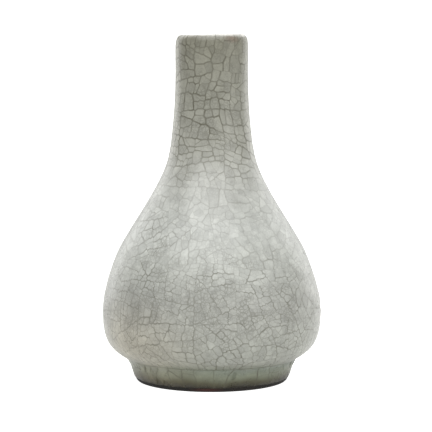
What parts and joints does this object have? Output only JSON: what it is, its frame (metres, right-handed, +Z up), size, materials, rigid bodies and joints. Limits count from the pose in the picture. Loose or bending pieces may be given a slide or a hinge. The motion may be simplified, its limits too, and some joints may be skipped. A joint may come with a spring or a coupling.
{
  "type": "bottle vase",
  "caption": "Pear-shaped bottle vase with a tall straight neck, a low foot ring and a thick grey-green crackled glaze over a hollow stoneware body, open at the mouth.",
  "frame": {"origin": "centre of the circle on which the foot stands", "axes": "+Z up along the axis of revolution, towards the mouth; X and Y are free, because the vase is round"},
  "size_m": [0.1202, 0.1202, 0.19],
  "materials": {
    "stoneware": "fired grey-brown stoneware, matt and slightly gritty",
    "luting_slip": "fired slip, fine and matt",
    "crackle_glaze": "thick grey-green celadon, glossy, crackled all over with grey lines",
    "lining_glaze": "thin grey-green celadon, glossy, crackled",
    "base_glaze": "grey-green celadon, glossy, crackled",
    "iron_dressing": "iron-brown wash, burnt and matt"
  },
  "bodies": {
    "root": {"foot_ring": "stoneware", "lower_belly": "stoneware", "upper_belly": "stoneware", "neck": "stoneware", "foot_luting": "luting_slip", "belly_luting": "luting_slip", "neck_luting": "luting_slip", "outer_glaze": "crackle_glaze", "inner_glaze": "lining_glaze", "base_glaze": "base_glaze", "foot_rim_dressing": "iron_dressing"}
  },
  "joints": []
}
